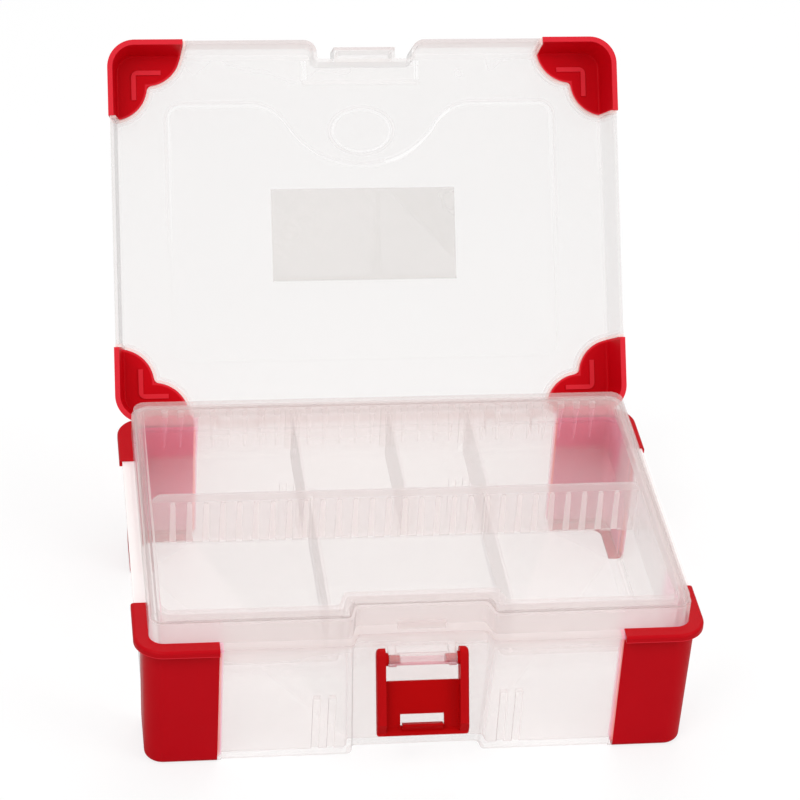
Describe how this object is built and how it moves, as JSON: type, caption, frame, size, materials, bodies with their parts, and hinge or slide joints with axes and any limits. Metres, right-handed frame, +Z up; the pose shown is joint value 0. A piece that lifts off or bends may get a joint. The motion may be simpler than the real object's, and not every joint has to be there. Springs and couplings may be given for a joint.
{
  "type": "compartment storage box",
  "caption": "Small parts box with a clear bin, a lift-out divided tray, a hinged lid, red corner caps and a front latch.",
  "frame": {"origin": "centre of the underside", "axes": "+X to the right seen from the front, -Y towards the latch, +Z up"},
  "size_m": [0.225, 0.2887, 0.1898],
  "materials": {
    "clear_plastic": "satin",
    "red_plastic": "satin",
    "label": "matte"
  },
  "bodies": {
    "base": {"base_bin": "clear_plastic", "base_corner_front_left": "red_plastic", "base_corner_front_right": "red_plastic", "base_corner_rear_left": "red_plastic", "base_corner_rear_right": "red_plastic"},
    "lid": {"lid_shell": "clear_plastic", "lid_corner_front_left": "red_plastic", "lid_corner_front_right": "red_plastic", "lid_corner_rear_left": "red_plastic", "lid_corner_rear_right": "red_plastic", "blank_label": "label"},
    "latch": {"latch": "red_plastic"},
    "tray": {"tray": "clear_plastic"},
    "divider_left": {"tray_divider_left": "clear_plastic"},
    "divider_middle": {"tray_divider_middle": "clear_plastic"},
    "divider_right": {"tray_divider_right": "clear_plastic"}
  },
  "joints": [
    {"name": "lid_hinge", "type": "hinge", "parent": "base", "child": "lid", "pos_m": [0, 0.08375, 0.055], "axis": [-1, 0, 0], "range_deg": [-125, 0]},
    {"name": "latch_pivot", "type": "hinge", "parent": "base", "child": "latch", "pos_m": [0, -0.078, 0.0477], "axis": [-1, 0, 0], "range_deg": [-26, 153]},
    {"name": "tray_lift", "type": "slide", "parent": "base", "child": "tray", "axis": [0, 0, 1], "range_m": [0, 0.04]},
    {"name": "divider_left_lift", "type": "slide", "parent": "tray", "child": "divider_left", "axis": [0, 0, 1], "range_m": [0, 0.03]},
    {"name": "divider_middle_lift", "type": "slide", "parent": "tray", "child": "divider_middle", "axis": [0, 0, 1], "range_m": [0, 0.03]},
    {"name": "divider_right_lift", "type": "slide", "parent": "tray", "child": "divider_right", "axis": [0, 0, 1], "range_m": [0, 0.03]}
  ]
}
